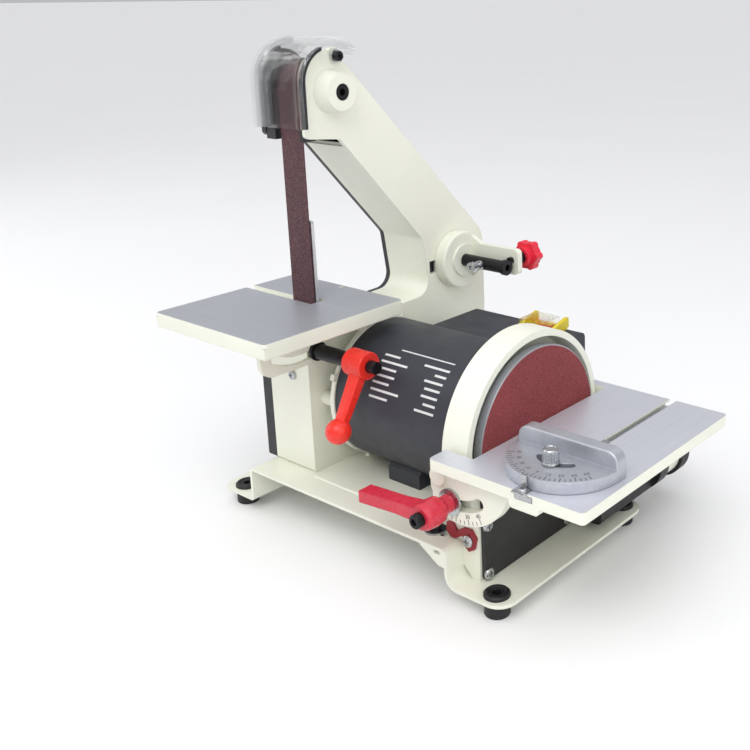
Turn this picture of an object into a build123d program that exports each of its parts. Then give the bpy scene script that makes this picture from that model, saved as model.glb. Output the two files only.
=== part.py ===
from build123d import *
from math import atan2, cos, degrees, hypot, pi, radians, sin
import os

# Belt and disc sander. Millimetres, +Z up. The motor axis runs along X, the disc faces +X and the
# belt runs up the front (-Y) of the casting at the -X end. The origin is on the bench, in the middle
# of the four feet.

# ---- driving dimensions ----
AXIS_Z = 98.5            # height of the motor axis above the bench
DISC_D = 125.0           # abrasive disc
BELT_W = 25.0            # abrasive belt
BELT_LENGTH = 762.0
BELT_T = 0.9
BELT_GAP = 0.3           # between a wheel and the back of the belt
FACE_X = 115.0           # working face of the disc
DRIVE_R = 43.7
IDLER_R = 20.0
TENSION_R = 24.0
BELT_X = -84.0           # middle of the belt
FOOT_X, FOOT_Y = 135.0, 75.0
FOOT_HOLE_R = 3.25

BASE_TOP = 40.0
SHEET = 2.5
FLANGE_Z = 13.5          # top of the base flanges
WEB_L, WEB_R = -113.0, 101.0
BASE_Y = 87.0

CASE_X0, CASE_X1 = -109.0, -62.0
CASE_WALL = 2.8
WEB_T = 4.0
COVER_T = 12.0           # depth of the side cover over the drive wheel
COVER_ARM_T = 6.0        # and along the arm
COVER_STEP_Z = 140.0     # where the cover changes depth

IDLER_Y = DRIVE_R * -1 + IDLER_R
IDLER_Z = 335.5
TENSION_Z = 179.0

SHELL_R = 55.2
SHELL_X0, SHELL_X1 = -42.0, 85.0
SHAFT_R = 8.0

GUARD_R = 74.0
GUARD_X0, GUARD_X1 = 88.0, 111.0
BOX_X0, BOX_X1 = 101.0, 116.0
BOX_Y = 70.0
BOX_TOP = AXIS_Z - 16.0

TABLE_T = 12.2
BELT_TABLE = 130.0
BELT_TABLE_X0 = -149.5
BELT_TABLE_Y0 = -131.0
BELT_TABLE_Z = 174.3
BELT_FRONT_Y = -DRIVE_R - BELT_GAP - BELT_T
BELT_PIVOT = (-71.8, 188.2)
BELT_CLAMP = (-57.0, 141.0)
STUD_R = 3.95            # clamp stud in the case
STUD_NECK_R = 3.0        # and where it crosses the trunnion slot

DISC_TABLE_W, DISC_TABLE_D = 178.0, 126.0
DISC_TABLE_X0 = 94.0
DISC_TABLE_Y0 = -93.0
DISC_TABLE_Z = 108.0
DISC_TABLE_T = 8.0
DISC_PIVOT_X = 111.0
DISC_CLAMP = (104.5, 76.5)
REAR_PIN = (107.5, 88.3)
SLOT_X = 174.5           # mitre slot

KNOB_X, KNOB_Z = -5.0, 183.0
MITER_PIVOT_Y = -48.0
MITER_KNOB_Y = -65.0
MITER_R = 40.0
PORT_X, PORT_Z, PORT_R = 134.0, 40.0, 20.0
ARM_GAP = 0.3
TILT = 45.0              # travel of either table

BOLT_X, BOLT_Y = 76.0, 71.0
CASE_BOLTS = [(-86.0, -50.0), (-86.0, 32.0)]
MOTOR_BOLTS = [(13.0, -28.0), (13.0, 28.0)]
COVER_POSTS = [(-52.0, 62.0), (88.0, 92.0), (134.0, 150.0), (12.0, 316.0)]
PANEL_SCREWS = [(-65.0, 19.0), (-65.0, 55.0), (24.0, 20.0), (65.0, 72.0)]
FRONT_SCREW = (-81.0, 118.0)
PLATEN_SCREWS = (133.5, 141.5)
GUARD_SCREW = (-18.5, 361.5)
BEARING_R = 17.5
SWBOX = (-31.0, 82.0, 22.0, 101.0, 74.0, 139.5)
SWITCH_X, SWITCH_Y = 50.3, 82.5
SWITCH_W = 34.0          # width of the switch bezel
GLAND_R, GLAND_X, GLAND_Z = 7.0, -12.0, 90.0


# ---- helpers ----
def block(x0, x1, y0, y1, z0, z1):
    size = (x1 - x0, y1 - y0, z1 - z0)
    centre = ((x0 + x1) / 2, (y0 + y1) / 2, (z0 + z1) / 2)
    return Pos(*centre) * Box(*size)


def rod_x(r, x0, x1, y=0.0, z=AXIS_Z):
    return Pos((x0 + x1) / 2, y, z) * Rot(0, 90, 0) * Cylinder(r, x1 - x0)


def rod_y(r, y0, y1, x, z):
    return Pos(x, (y0 + y1) / 2, z) * Rot(90, 0, 0) * Cylinder(r, y1 - y0)


def rod_z(r, z0, z1, x, y):
    return Pos(x, y, (z0 + z1) / 2) * Cylinder(r, z1 - z0)


def cone_x(r0, r1, x0, x1, y, z):
    return Pos((x0 + x1) / 2, y, z) * Rot(0, 90, 0) * Cone(r0, r1, x1 - x0)


def cone_y(r0, r1, y0, y1, x, z):
    return Pos(x, (y0 + y1) / 2, z) * Rot(-90, 0, 0) * Cone(r0, r1, y1 - y0)


def tube_x(r_out, r_in, x0, x1, y=0.0, z=AXIS_Z):
    return rod_x(r_out, x0, x1, y, z) - rod_x(r_in, x0 - 1, x1 + 1, y, z)


def slab_x(points, radii, x0, x1, inset=0.0):
    """Outline in Y and Z with rounded corners, drawn out along X."""
    face = make_face(FilletPolyline(*points, radius=radii, close=True))
    if inset:
        face = offset(face, amount=-inset)
    return Pos(x0, 0, 0) * extrude(Plane.YZ * face, amount=x1 - x0)


def slab_y(points, radii, y0, y1):
    """Outline in X and Z with rounded corners, drawn out along Y."""
    face = make_face(FilletPolyline(*points, radius=radii, close=True))
    return Pos(0, y1, 0) * extrude(Plane.XZ * face, amount=y1 - y0)


def hex_rod_z(flat, z0, z1, x, y):
    face = RegularPolygon(flat / 2, 6, major_radius=False)
    return Pos(x, y, z0) * extrude(face, amount=z1 - z0)


def ring_sector(r0, r1, start, end):
    """Part of a ring about the origin, angles in degrees."""
    a0, a1 = radians(start), radians(end)
    mid = (a0 + a1) / 2
    outline = [
        Line((r0 * cos(a0), r0 * sin(a0)), (r1 * cos(a0), r1 * sin(a0))),
        ThreePointArc((r1 * cos(a0), r1 * sin(a0)), (r1 * cos(mid), r1 * sin(mid)),
                      (r1 * cos(a1), r1 * sin(a1))),
        Line((r1 * cos(a1), r1 * sin(a1)), (r0 * cos(a1), r0 * sin(a1))),
        ThreePointArc((r0 * cos(a1), r0 * sin(a1)), (r0 * cos(mid), r0 * sin(mid)),
                      (r0 * cos(a0), r0 * sin(a0))),
    ]
    return make_face(outline)


def arc_slot(radius, half, start, end):
    """Slot along an arc about the origin, with round ends."""
    face = ring_sector(radius - half, radius + half, start, end)
    for angle in (start, end):
        x, y = radius * cos(radians(angle)), radius * sin(radians(angle))
        face += Pos(x, y) * Circle(half)
    return face


def upright_x(part):
    """Turns a shape drawn along +Z at the origin so that it points along +X."""
    return Rot(0, 90, 0) * part


def upright_y(part):
    """Turns a shape drawn along +Z at the origin so that it points along -Y."""
    return Rot(90, 0, 0) * part


def socket_screw(head_r, head_h, shank_r, length, key):
    """Socket head screw: the head's underside is at z = 0 and the shank goes down."""
    head = Pos(0, 0, head_h / 2) * Cylinder(head_r, head_h)
    head = chamfer(head.edges().group_by(Axis.Z)[-1], head_r * 0.14)
    recess = extrude(RegularPolygon(key / 2, 6, major_radius=False), amount=head_h)
    shank = Pos(0, 0, -length / 2) * Cylinder(shank_r, length)
    return head - Pos(0, 0, head_h * 0.4) * recess + shank


def cross_screw(head_r, head_h, shank_r, length):
    """Pan head screw with a cross recess: the head's underside is at z = 0."""
    head = Pos(0, 0, head_h / 2) * Cylinder(head_r, head_h)
    head = fillet(head.edges().group_by(Axis.Z)[-1], head_h * 0.6)
    arm = Box(head_r * 1.15, head_r * 0.28, head_h)
    recess = Pos(0, 0, head_h) * (arm + Rot(0, 0, 90) * arm)
    shank = Pos(0, 0, -length / 2) * Cylinder(shank_r, length)
    return head - recess + shank


def belt_length(tension_y):
    """Length of the middle of the belt round its three wheels."""
    half = BELT_GAP + BELT_T / 2
    wheels = [(0.0, AXIS_Z, DRIVE_R), (tension_y, TENSION_Z, TENSION_R), (IDLER_Y, IDLER_Z, IDLER_R)]
    headings = []
    total = 0.0
    for n, (y0, z0, r0) in enumerate(wheels):
        y1, z1, r1 = wheels[(n + 1) % 3]
        span = hypot(y1 - y0, z1 - z0)
        total += (span**2 - (r1 - r0) ** 2) ** 0.5
        headings.append(atan2(z1 - z0, y1 - y0) + atan2(r0 - r1, span))
    for n, (y0, z0, r0) in enumerate(wheels):
        turn = (headings[n] - headings[n - 1]) % (2 * pi)
        total += turn * (r0 + half)
    return total


def solve_tension_y():
    low, high = 80.0, 130.0
    for _ in range(40):
        middle = (low + high) / 2
        if belt_length(middle) < BELT_LENGTH:
            low = middle
        else:
            high = middle
    return low


TENSION_Y = solve_tension_y()


# ---- base ----
def base_plate():
    t = SHEET
    profile = [
        (-153, FLANGE_Z), (WEB_L, FLANGE_Z), (WEB_L, BASE_TOP), (WEB_R, BASE_TOP),
        (WEB_R, FLANGE_Z), (150, FLANGE_Z), (150, FLANGE_Z - t), (WEB_R - t, FLANGE_Z - t),
        (WEB_R - t, BASE_TOP - t), (WEB_L + t, BASE_TOP - t), (WEB_L + t, FLANGE_Z - t),
        (-153, FLANGE_Z - t),
    ]
    radii = [0, 1.2, 3.6, 5.0, 8.0, 0, 0, 10.5, 2.5, 1.2, 3.6, 0]
    plate = slab_y(profile, radii, -BASE_Y, BASE_Y)
    plate = fillet(plate.edges().filter_by(Axis.Z).group_by(Axis.X)[0], 12)
    plate = fillet(plate.edges().filter_by(Axis.Z).group_by(Axis.X)[-1], 14)
    pad = block(-58, 66, -68, 68, BASE_TOP - 0.5, BASE_TOP + 1)
    pad = chamfer(pad.edges().group_by(Axis.Z)[-1], 0.9)
    gusset_points = [(74, 38), (WEB_R - 1, 38), (WEB_R - 1, 26), (93, 26.5)]
    gusset = slab_y(gusset_points, 0.8, -BASE_Y, -BASE_Y + t)
    gusset -= Pos(92, -BASE_Y + 5, 36) * extrude(Plane.XZ * SlotOverall(5.8, 2.6), amount=8)
    plate = plate + pad + gusset + mirror(gusset, Plane.XZ)
    for sx in (-1, 1):
        for sy in (-1, 1):
            plate -= rod_z(7.0, 0, 20, sx * FOOT_X, sy * FOOT_Y)
    for sy in (-1, 1):
        slot = extrude(SlotOverall(17, 6.6), amount=12)
        plate -= Pos(BOLT_X + 3, sy * BOLT_Y, BASE_TOP - 6) * slot
    for x, y in CASE_BOLTS + MOTOR_BOLTS:
        plate -= rod_z(3.2, BASE_TOP - 6, BASE_TOP + 3, x, y)
    return plate


def rubber_feet():
    feet = []
    for sx in (-1, 1):
        for sy in (-1, 1):
            section = Polyline(
                (FOOT_HOLE_R, 0), (8.4, 0), (9.0, 1), (8.8, FLANGE_Z - SHEET), (6.95, FLANGE_Z - SHEET),
                (6.95, FLANGE_Z), (9.3, FLANGE_Z), (9.3, FLANGE_Z + 1.8), (8.2, FLANGE_Z + 2.9),
                (6.6, FLANGE_Z + 3.1), (5.6, FLANGE_Z + 2.4), (FOOT_HOLE_R, FLANGE_Z + 2.2), close=True)
            foot = revolve(Plane.XZ * make_face(section), Axis.Z)
            feet.append(Pos(sx * FOOT_X, sy * FOOT_Y, 0) * foot)
    return Compound(feet)


def base_bolts():
    """Two socket bolts in the slotted holes, and four bolts up into the casting and the motor foot."""
    bolts = []
    for sy in (-1, 1):
        bolt = Pos(0, 0, BASE_TOP + 1.4) * socket_screw(4.9, 6.0, 2.9, 16, 5.0)
        nut = hex_rod_z(10, BASE_TOP - SHEET - 5, BASE_TOP - SHEET, 0, 0)
        nut -= rod_z(2.9, 20, 50, 0, 0)
        for piece in (bolt, nut):
            bolts.append(Pos(BOLT_X, sy * BOLT_Y, 0) * piece)
    for x, y in CASE_BOLTS + MOTOR_BOLTS:
        bolt = Rot(180, 0, 0) * socket_screw(4.9, 5.0, 2.9, 10, 4.0)
        bolts.append(Pos(x, y, BASE_TOP - SHEET) * bolt)
    return Compound(bolts)


def washers():
    """Plain washers: under the two base bolts, the disc table's clamp and the clear guard's screw."""
    rings = []
    for sy in (-1, 1):
        ring = rod_z(8.0, BASE_TOP, BASE_TOP + 1.4, 0, 0) - rod_z(2.95, BASE_TOP - 1, BASE_TOP + 3, 0, 0)
        rings.append(Pos(BOLT_X, sy * BOLT_Y, 0) * ring)
    x, z = DISC_CLAMP
    rings.append(rod_y(9.5, -85.8, -84.2, x, z) - rod_y(3.9, -87, -83, x, z))
    y, z = GUARD_SCREW
    rings.append(tube_x(4.8, 1.6, CASE_X1 + 2.4, CASE_X1 + 3.4, y, z))
    return Compound(rings)


# ---- motor ----
def motor_foot():
    foot = block(-6, 27, -37, 37, BASE_TOP + 1, BASE_TOP + 15)
    foot = chamfer(foot.edges().filter_by(Axis.X).group_by(Axis.Z)[-1], 3)
    foot -= rod_x(SHELL_R + 0.02, -10, 40)
    for x, y in MOTOR_BOLTS:
        foot -= rod_z(2.95, BASE_TOP, BASE_TOP + 8, x, y)
    return foot


def motor_shell():
    shell = tube_x(SHELL_R, SHELL_R - 2.5, SHELL_X0, SHELL_X1)
    window = block(10, 30, 35, 60, AXIS_Z - 6, AXIS_Z + 14)
    return shell - window


def end_bell(x0, x1, hub0, hub1, seat0, seat1, inner):
    """End bell: a plate, a hub with a bearing seat, and vent slots round it."""
    bell = rod_x(SHELL_R + 1.3, x0, x1) + rod_x(22, hub0, hub1)
    bell -= rod_x(BEARING_R, seat0, seat1)
    bell -= rod_x(SHAFT_R + 1.5, min(x0, hub0) - 2, max(x1, hub1) + 2)
    for n in range(8):
        vent = block(x0 - 1, x1 + 1, 28, 44, -3, 3)
        bell -= Pos(0, 0, AXIS_Z) * Rot(22.5 + n * 45, 0, 0) * vent
    ring = rod_x(SHELL_R - 2.55, inner[0], inner[1]) - rod_x(SHELL_R - 4.5, inner[0] - 1, inner[1] + 1)
    return bell + ring


def belt_end_bell():
    bell = end_bell(-46.0, SHELL_X0, -60, -45, -57, -46, (SHELL_X0 - 0.5, SHELL_X0 + 6))
    for n in range(4):
        y, z = 47 * cos(n * pi / 2), 47 * sin(n * pi / 2)
        bell += rod_x(5.5, CASE_X1, -45.0, y, AXIS_Z + z)
    for n in range(8):
        lug = block(-46.0, SHELL_X0, SHELL_R - 2, SHELL_R + 4, -2.5, 2.5)
        bell += Pos(0, 0, AXIS_Z) * Rot(22.5 + n * 45, 0, 0) * lug
    return bell


def disc_end_bell():
    bell = end_bell(SHELL_X1, GUARD_X0, 70, GUARD_X0, 71, 82, (SHELL_X1 - 6, SHELL_X1 + 0.5))
    return bell & rod_x(SHELL_R, 60, 90)


def stator_core():
    core = tube_x(SHELL_R - 2.5, 31, -12, 48)
    for n in range(24):
        slot = block(-13, 49, 30, 41, -1.6, 1.6)
        core -= Pos(0, 0, AXIS_Z) * Rot(n * 15, 0, 0) * slot
    return core


def stator_windings():
    ends = []
    for x0, x1 in ((-28, -12.05), (48.05, 64)):
        ring = tube_x(49, 35, x0, x1)
        ends.append(fillet(ring.edges(), 4))
    return Compound(ends)


def rotor_core():
    core = rod_x(30.4, -12, 48) - rod_x(SHAFT_R, -20, 60)
    rings = tube_x(29, 20, -18, -12) + tube_x(29, 20, 48, 52)
    return core + rings


def motor_shaft():
    shaft = rod_x(SHAFT_R, -101, 107.5)
    shaft = chamfer(shaft.edges().group_by(Axis.X)[0], 1)
    return shaft


def cooling_fan():
    fan = tube_x(14, SHAFT_R, 53, 65)
    fan += tube_x(30, SHAFT_R, 53, 54.5)
    for n in range(9):
        blade = block(54, 64, 12, 29.5, -0.8, 0.8)
        fan += Pos(0, 0, AXIS_Z) * Rot(n * 40, 0, 0) * blade
    return fan


def motor_bearings():
    races = []
    for x0, x1 in ((-57, -46), (71, 82)):
        race = tube_x(BEARING_R, SHAFT_R + 0.03, x0, x1)
        for face in (x0, x1 - 1.2):
            race -= tube_x(BEARING_R - 2.6, SHAFT_R + 2.4, face, face + 1.2) & rod_x(16, face, face + 1.2)
        races.append(race)
    return Compound(races)


def drive_wheel():
    x0, x1 = BELT_X - 13.5, BELT_X + 13.5
    wheel = rod_x(DRIVE_R, x0, x1)
    wheel = chamfer(wheel.edges(), 0.8)
    wheel -= tube_x(36, 15, x0 - 1, x0 + 8)
    wheel -= tube_x(36, 15, x1 - 8, x1 + 1)
    wheel -= rod_x(SHAFT_R, x0 - 5, x1 + 5)
    return wheel


def drive_wheel_nut():
    washer = tube_x(13, SHAFT_R, -99.2, BELT_X - 13.5)
    nut = Pos(-103.5, 0, AXIS_Z) * Rot(0, 90, 0) * extrude(RegularPolygon(9.5, 6, major_radius=False), amount=4.3)
    nut -= rod_x(SHAFT_R, -108, -95)
    return washer + nut


# ---- switch box ----
def switch_box():
    x0, x1, y0, y1, z0, z1 = SWBOX
    outer = block(*SWBOX)
    outer = fillet(outer.edges().filter_by(Axis.X).group_by(Axis.Y)[-1], 5)
    inner = block(x0 + 2.5, x1 - 2.5, y0 + 2.5, y1 - 2.5, z0 + 2.5, z1 - 2.5) - rod_x(SHELL_R + 3, -60, 120)
    box = outer - inner - rod_x(SHELL_R + 0.02, -60, 120)
    hole = block(SWITCH_X - 12.5, SWITCH_X + 12.5, SWITCH_Y - 12, SWITCH_Y + 12, z1 - 5, z1 + 2)
    gland_hole = rod_y(GLAND_R, y1 - 5, y1 + 2, GLAND_X, GLAND_Z)
    return box - hole - gland_hole


def switch_bezel():
    z = SWBOX[5]
    half = SWITCH_W / 2
    bezel = block(SWITCH_X - half, SWITCH_X + half, SWITCH_Y - 16.5, SWITCH_Y + 16.5, z, z + 2.2)
    bezel = fillet(bezel.edges().filter_by(Axis.Z), 3)
    ear_points = [(SWITCH_Y - 16, z + 1.5), (SWITCH_Y + 16.5, z + 1.5), (SWITCH_Y + 16.5, z + 9.8),
                  (SWITCH_Y + 14.5, z + 9.8)]
    for x0 in (SWITCH_X - half, SWITCH_X + half - 3.2):
        bezel += slab_x(ear_points, 0.8, x0, x0 + 3.2)
    bezel += block(SWITCH_X - 12.4, SWITCH_X + 12.4, SWITCH_Y - 11.9, SWITCH_Y + 11.9, z - 14, z + 2.2)
    bezel -= block(SWITCH_X - 10.5, SWITCH_X + 10.5, SWITCH_Y - 9.5, SWITCH_Y + 9.5, z - 12.5, z + 3)
    return bezel + rod_y(1.55, SWITCH_Y - 10, SWITCH_Y + 10, SWITCH_X, z - 3)


def switch_rocker():
    """Rocker that turns about Y in the bezel, its left end pressed in."""
    z = SWBOX[5]
    points = [(-8.8, 0.8), (0, 1.8), (8.3, 4.4), (9.2, -3), (0, -8.5), (-9.2, -3)]
    rocker = slab_y([(SWITCH_X + px, z + pz) for px, pz in points], [1, 3, 1, 1, 4, 1],
                    SWITCH_Y - 9.2, SWITCH_Y + 9.2)
    return rocker - rod_y(1.6, SWITCH_Y - 12, SWITCH_Y + 12, SWITCH_X, z - 3)


def switch_boot():
    z = SWBOX[5] + 2.2
    outer = block(SWITCH_X - 13.3, SWITCH_X + 13.3, SWITCH_Y - 12.5, SWITCH_Y + 12.5, z, z + 9.5)
    outer = fillet(outer.edges().filter_by(Axis.Z), 4)
    outer = fillet(outer.edges().group_by(Axis.Z)[-1], 3)
    inner = block(SWITCH_X - 12.1, SWITCH_X + 12.1, SWITCH_Y - 11.3, SWITCH_Y + 11.3, z - 1, z + 8.3)
    inner = fillet(inner.edges().filter_by(Axis.Z), 3)
    return outer - inner


def cable_gland():
    y = SWBOX[3]
    gland = rod_y(GLAND_R - 0.02, y - 4, y + 1, GLAND_X, GLAND_Z)
    gland += rod_y(9.5, y, y + 3, GLAND_X, GLAND_Z) + rod_y(9.0, y - 5, y - 2.5, GLAND_X, GLAND_Z)
    gland += cone_y(7.5, 5.5, y + 3, y + 13, GLAND_X, GLAND_Z)
    return gland - rod_y(3.4, y - 10, y + 20, GLAND_X, GLAND_Z)


# ---- belt casting ----
BACK_SLOPE = -142.4 / 134.0
CASE_BACK_Y = 142.0
HEAD_FRONT_Y = -49.2


def back_line_z(y):
    return 355.4 + (y + 8.05) * BACK_SLOPE


CASE_POINTS = [
    (-62.5, BASE_TOP), (50, BASE_TOP), (CASE_BACK_Y, 118), (CASE_BACK_Y, back_line_z(CASE_BACK_Y)),
    (HEAD_FRONT_Y, back_line_z(HEAD_FRONT_Y)), (HEAD_FRONT_Y, 302), (-17, 298.5), (65.5, 204),
    (72.5, 154.5), (-62.5, 150.5),
]
CASE_RADII = [2.5, 14, 16, 26, 21.5, 4, 5, 7, 13, 3]


def case_solid(x0, x1, inset=0.0):
    return slab_x(CASE_POINTS, CASE_RADII, x0, x1, inset)


def belt_frame():
    frame = case_solid(CASE_X0, CASE_X1) - case_solid(CASE_X0 - 1, CASE_X1 - WEB_T, CASE_WALL)
    # the head is open in front and on top, and the lower case is open on top, where the belt passes
    frame -= block(CASE_X0 - 1, CASE_X1 - WEB_T, -60, -10, 292, 380)
    frame += rod_x(6.5, CASE_X1 - WEB_T, CASE_X1, GUARD_SCREW[0], GUARD_SCREW[1])
    frame -= block(CASE_X0 - 1, CASE_X1 - WEB_T, -49.5, -37.5, 140, 160)
    # bosses: idler axle, motor spigot, seats for the clamp stud and the platen
    frame += cone_x(16.5, 14, CASE_X1 - 0.5, -48, IDLER_Y, IDLER_Z)
    frame += rod_x(9, CASE_X1 - WEB_T - 2, CASE_X1, IDLER_Y, IDLER_Z)
    frame += rod_x(5.3, -78, CASE_X1 - 1, BELT_CLAMP[0], BELT_CLAMP[1])
    frame -= rod_x(23, -70, -50)
    frame -= rod_x(5, -80, -40, IDLER_Y, IDLER_Z)
    frame -= rod_x(6.4, -56, -40, IDLER_Y, IDLER_Z)
    frame -= rod_x(STUD_R + 0.05, -80, -50, BELT_CLAMP[0], BELT_CLAMP[1])
    # slot for the tension axle, and the small window beside it
    slot = extrude(SlotOverall(24, 15), amount=10)
    frame -= Pos(-69, TENSION_Y - 3, TENSION_Z) * Rot(0, 90, 0) * Rot(0, 0, 90) * slot
    frame -= block(-70, -58, 73, 82, 171, 182)
    # cover screw posts and base bolt bosses
    for y, z in COVER_POSTS:
        frame += rod_x(5, CASE_X0, CASE_X1 - 1, y, z)
        frame -= rod_x(2.0, CASE_X0 - 1, CASE_X0 + 14, y, z)
    for x, y in CASE_BOLTS:
        frame += rod_z(7, BASE_TOP + 0.01, BASE_TOP + 9, x, y)
        frame -= rod_z(2.95, BASE_TOP - 1, BASE_TOP + 8.5, x, y)
    frame -= rod_y(2.0, -64, -55, FRONT_SCREW[0], FRONT_SCREW[1])
    for z in PLATEN_SCREWS:
        frame -= rod_x(2.0, -70, CASE_X1 - 1, -24, z)
    frame -= rod_x(1.6, -67, -60, GUARD_SCREW[0], GUARD_SCREW[1])
    return frame


def cover_shell(depth):
    x0 = CASE_X0 - depth
    shell = case_solid(x0, CASE_X0)
    return chamfer(shell.faces().sort_by(Axis.X)[0].edges(), 1.2)


def cover_depth(z):
    return COVER_T if z < COVER_STEP_Z else COVER_ARM_T


def belt_side_cover():
    """Black side cover: deep over the drive wheel, shallow along the arm."""
    x1 = CASE_X0
    low = block(x1 - 30, x1 + 5, -100, 200, 0, COVER_STEP_Z)
    cover = cover_shell(COVER_ARM_T) + (cover_shell(COVER_T) & low)
    below_step = block(x1 - 30, x1 + 5, -100, 200, 0, COVER_STEP_Z - 2.5)
    cover -= case_solid(x1 - COVER_T + 2.5, x1 + 1, 3.2) & below_step
    cover -= case_solid(x1 - COVER_ARM_T + 2.5, x1 + 1, 3.2)
    for y, z in COVER_POSTS:
        x0 = x1 - cover_depth(z)
        cover += rod_x(5, x0 + 1, x1, y, z)
        cover -= rod_x(2.1, x0 - 1, x1 + 1, y, z)
    return cover


def case_screws():
    """Cross-head screws: the side cover, the front of the housing and the platen bracket."""
    screws = [Pos(FRONT_SCREW[0], -62.5, FRONT_SCREW[1]) * upright_y(cross_screw(4.0, 2.4, 1.95, 6))]
    for z in PLATEN_SCREWS:
        screws.append(Pos(-69, -24, z) * Rot(0, -90, 0) * cross_screw(3.6, 1.2, 1.95, 5.5))
    for y, z in COVER_POSTS:
        screw = Rot(0, -90, 0) * cross_screw(4.4, 2.6, 1.95, 18)
        screws.append(Pos(CASE_X0 - cover_depth(z), y, z) * screw)
    return Compound(screws)


def platen():
    y1 = BELT_FRONT_Y + BELT_T + 2.9
    plate = block(-98, -70, y1 - 2.5, y1, 128, 238)
    plate = fillet(plate.edges().filter_by(Axis.Y).group_by(Axis.Z)[-1], 2)
    arm = block(-69, -66.05, y1 - 2.5, -18, 128, 146.5)
    arm += block(-71, -69, y1 - 2.5, y1, 128, 146.5)
    for z in PLATEN_SCREWS:
        arm -= rod_x(2.05, -80, -60, -24, z)
    return plate + arm


def sanding_belt():
    def loop(extra):
        rings = []
        wheels = [(0.0, AXIS_Z, DRIVE_R), (TENSION_Y, TENSION_Z, TENSION_R), (IDLER_Y, IDLER_Z, IDLER_R)]
        for y, z, r in wheels:
            rings.append(Pos(y, z) * Edge.make_circle(r + extra))
        return make_face(make_hull(rings).edges())
    band = loop(BELT_GAP + BELT_T) - loop(BELT_GAP)
    return Pos(BELT_X - BELT_W / 2, 0, 0) * extrude(Plane.YZ * band, amount=BELT_W)


def crowned_wheel(radius, bore):
    x0, x1 = BELT_X - 13.5, BELT_X + 13.5
    wheel = rod_x(radius, x0, x1, 0, 0)
    wheel = chamfer(wheel.edges(), 0.8)
    for face in (x0 - 1, x1 - 2):
        wheel -= tube_x(radius - 3.5, bore + 3.5, face, face + 3, 0, 0)
    return wheel - rod_x(bore, x0 - 5, x1 + 5, 0, 0)


def idler_wheel():
    return Pos(0, IDLER_Y, IDLER_Z) * crowned_wheel(IDLER_R, 11)


def tension_wheel():
    return Pos(0, TENSION_Y, TENSION_Z) * crowned_wheel(TENSION_R, 11)


def wheel_bearings(y, z):
    """Two ball bearings in a wheel."""
    pair = []
    for x0 in (BELT_X - 12.5, BELT_X + 4.5):
        pair.append(tube_x(11, 5.04, x0, x0 + 8, y, z))
    return Compound(pair)


def idler_bearings():
    return wheel_bearings(IDLER_Y, IDLER_Z)


def tension_bearings():
    return wheel_bearings(TENSION_Y, TENSION_Z)


def idler_axle():
    """Bolt through the boss: its socket head is sunk in the boss, a nut holds the wheel."""
    y, z = IDLER_Y, IDLER_Z
    bolt = rod_x(5, -101.5, -55.9, y, z) + rod_x(6.2, -56, -48.6, y, z)
    key = Pos(-53, y, z) * upright_x(extrude(RegularPolygon(2.6, 6, major_radius=False), amount=6))
    collar = tube_x(7.5, 5, BELT_X + 12.6, CASE_X1 - WEB_T - 2, y, z)
    head = bolt - key
    clip = tube_x(7, 5, -99.5, BELT_X - 12.6, y, z)
    return head + collar + clip


# ---- head cap ----
ARCH_Y, ARCH_Z, ARCH_R = -25.5, 342.5, 34.5
ARCH_FOOT_Z = 310.0
ARCH_END = 46.0
CAP_X0, CAP_X1 = -108.5, -56.5
GLASS_T = 2.2
RIM_T = 7.0              # radial depth of the clear rims
SEAL_T = 2.4             # black strip inside each rim


def arch_profile(radius, foot_z):
    """Outline in Y and Z: a straight front leg, an arc over the top, and a flat back."""
    start = (ARCH_Y - radius, ARCH_Z)
    end = (ARCH_Y + radius * cos(radians(ARCH_END)), ARCH_Z + radius * sin(radians(ARCH_END)))
    outline = [
        ThreePointArc(start, (ARCH_Y, ARCH_Z + radius), end),
        Line(end, (ARCH_Y, foot_z)),
        Line((ARCH_Y, foot_z), (start[0], foot_z)),
        Line((start[0], foot_z), start),
    ]
    return make_face(outline)


def arch_band(radius, thickness, x0, x1):
    """Bent sheet that follows the arch, open behind and below."""
    outer = extrude(Plane.YZ * arch_profile(radius, ARCH_FOOT_Z), amount=x1 - x0)
    inner = extrude(Plane.YZ * arch_profile(radius - thickness, 300), amount=x1 - x0)
    drop = block(-1, x1 - x0 + 1, -27, 60, 290, ARCH_Z + 19.5)
    return Pos(x0, 0, 0) * (outer - inner - drop)


def eye_guard():
    """Clear cap over the head: a bent front and top sheet with thick rims at both sides."""
    guard = arch_band(ARCH_R, GLASS_T, CAP_X0, CAP_X1)
    guard += arch_band(ARCH_R, RIM_T, CAP_X0, CAP_X0 + 5)
    guard += arch_band(ARCH_R, RIM_T, CAP_X1 - 5, CAP_X1)
    lug = block(CASE_X1 + 0.2, CASE_X1 + 2.4, -33, -10, 356, 374)
    lug = fillet(lug.edges().filter_by(Axis.X).group_by(Axis.Z)[0], 6)
    guard += lug & rod_x(ARCH_R - 0.5, -70, -50, ARCH_Y, ARCH_Z)
    return guard - rod_x(1.8, -70, -50, GUARD_SCREW[0], GUARD_SCREW[1])


def eye_guard_screw():
    screw = Rot(0, 90, 0) * socket_screw(3.8, 3.6, 1.55, 7.0, 2.6)
    return Pos(CASE_X1 + 3.4, GUARD_SCREW[0], GUARD_SCREW[1]) * screw


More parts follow.
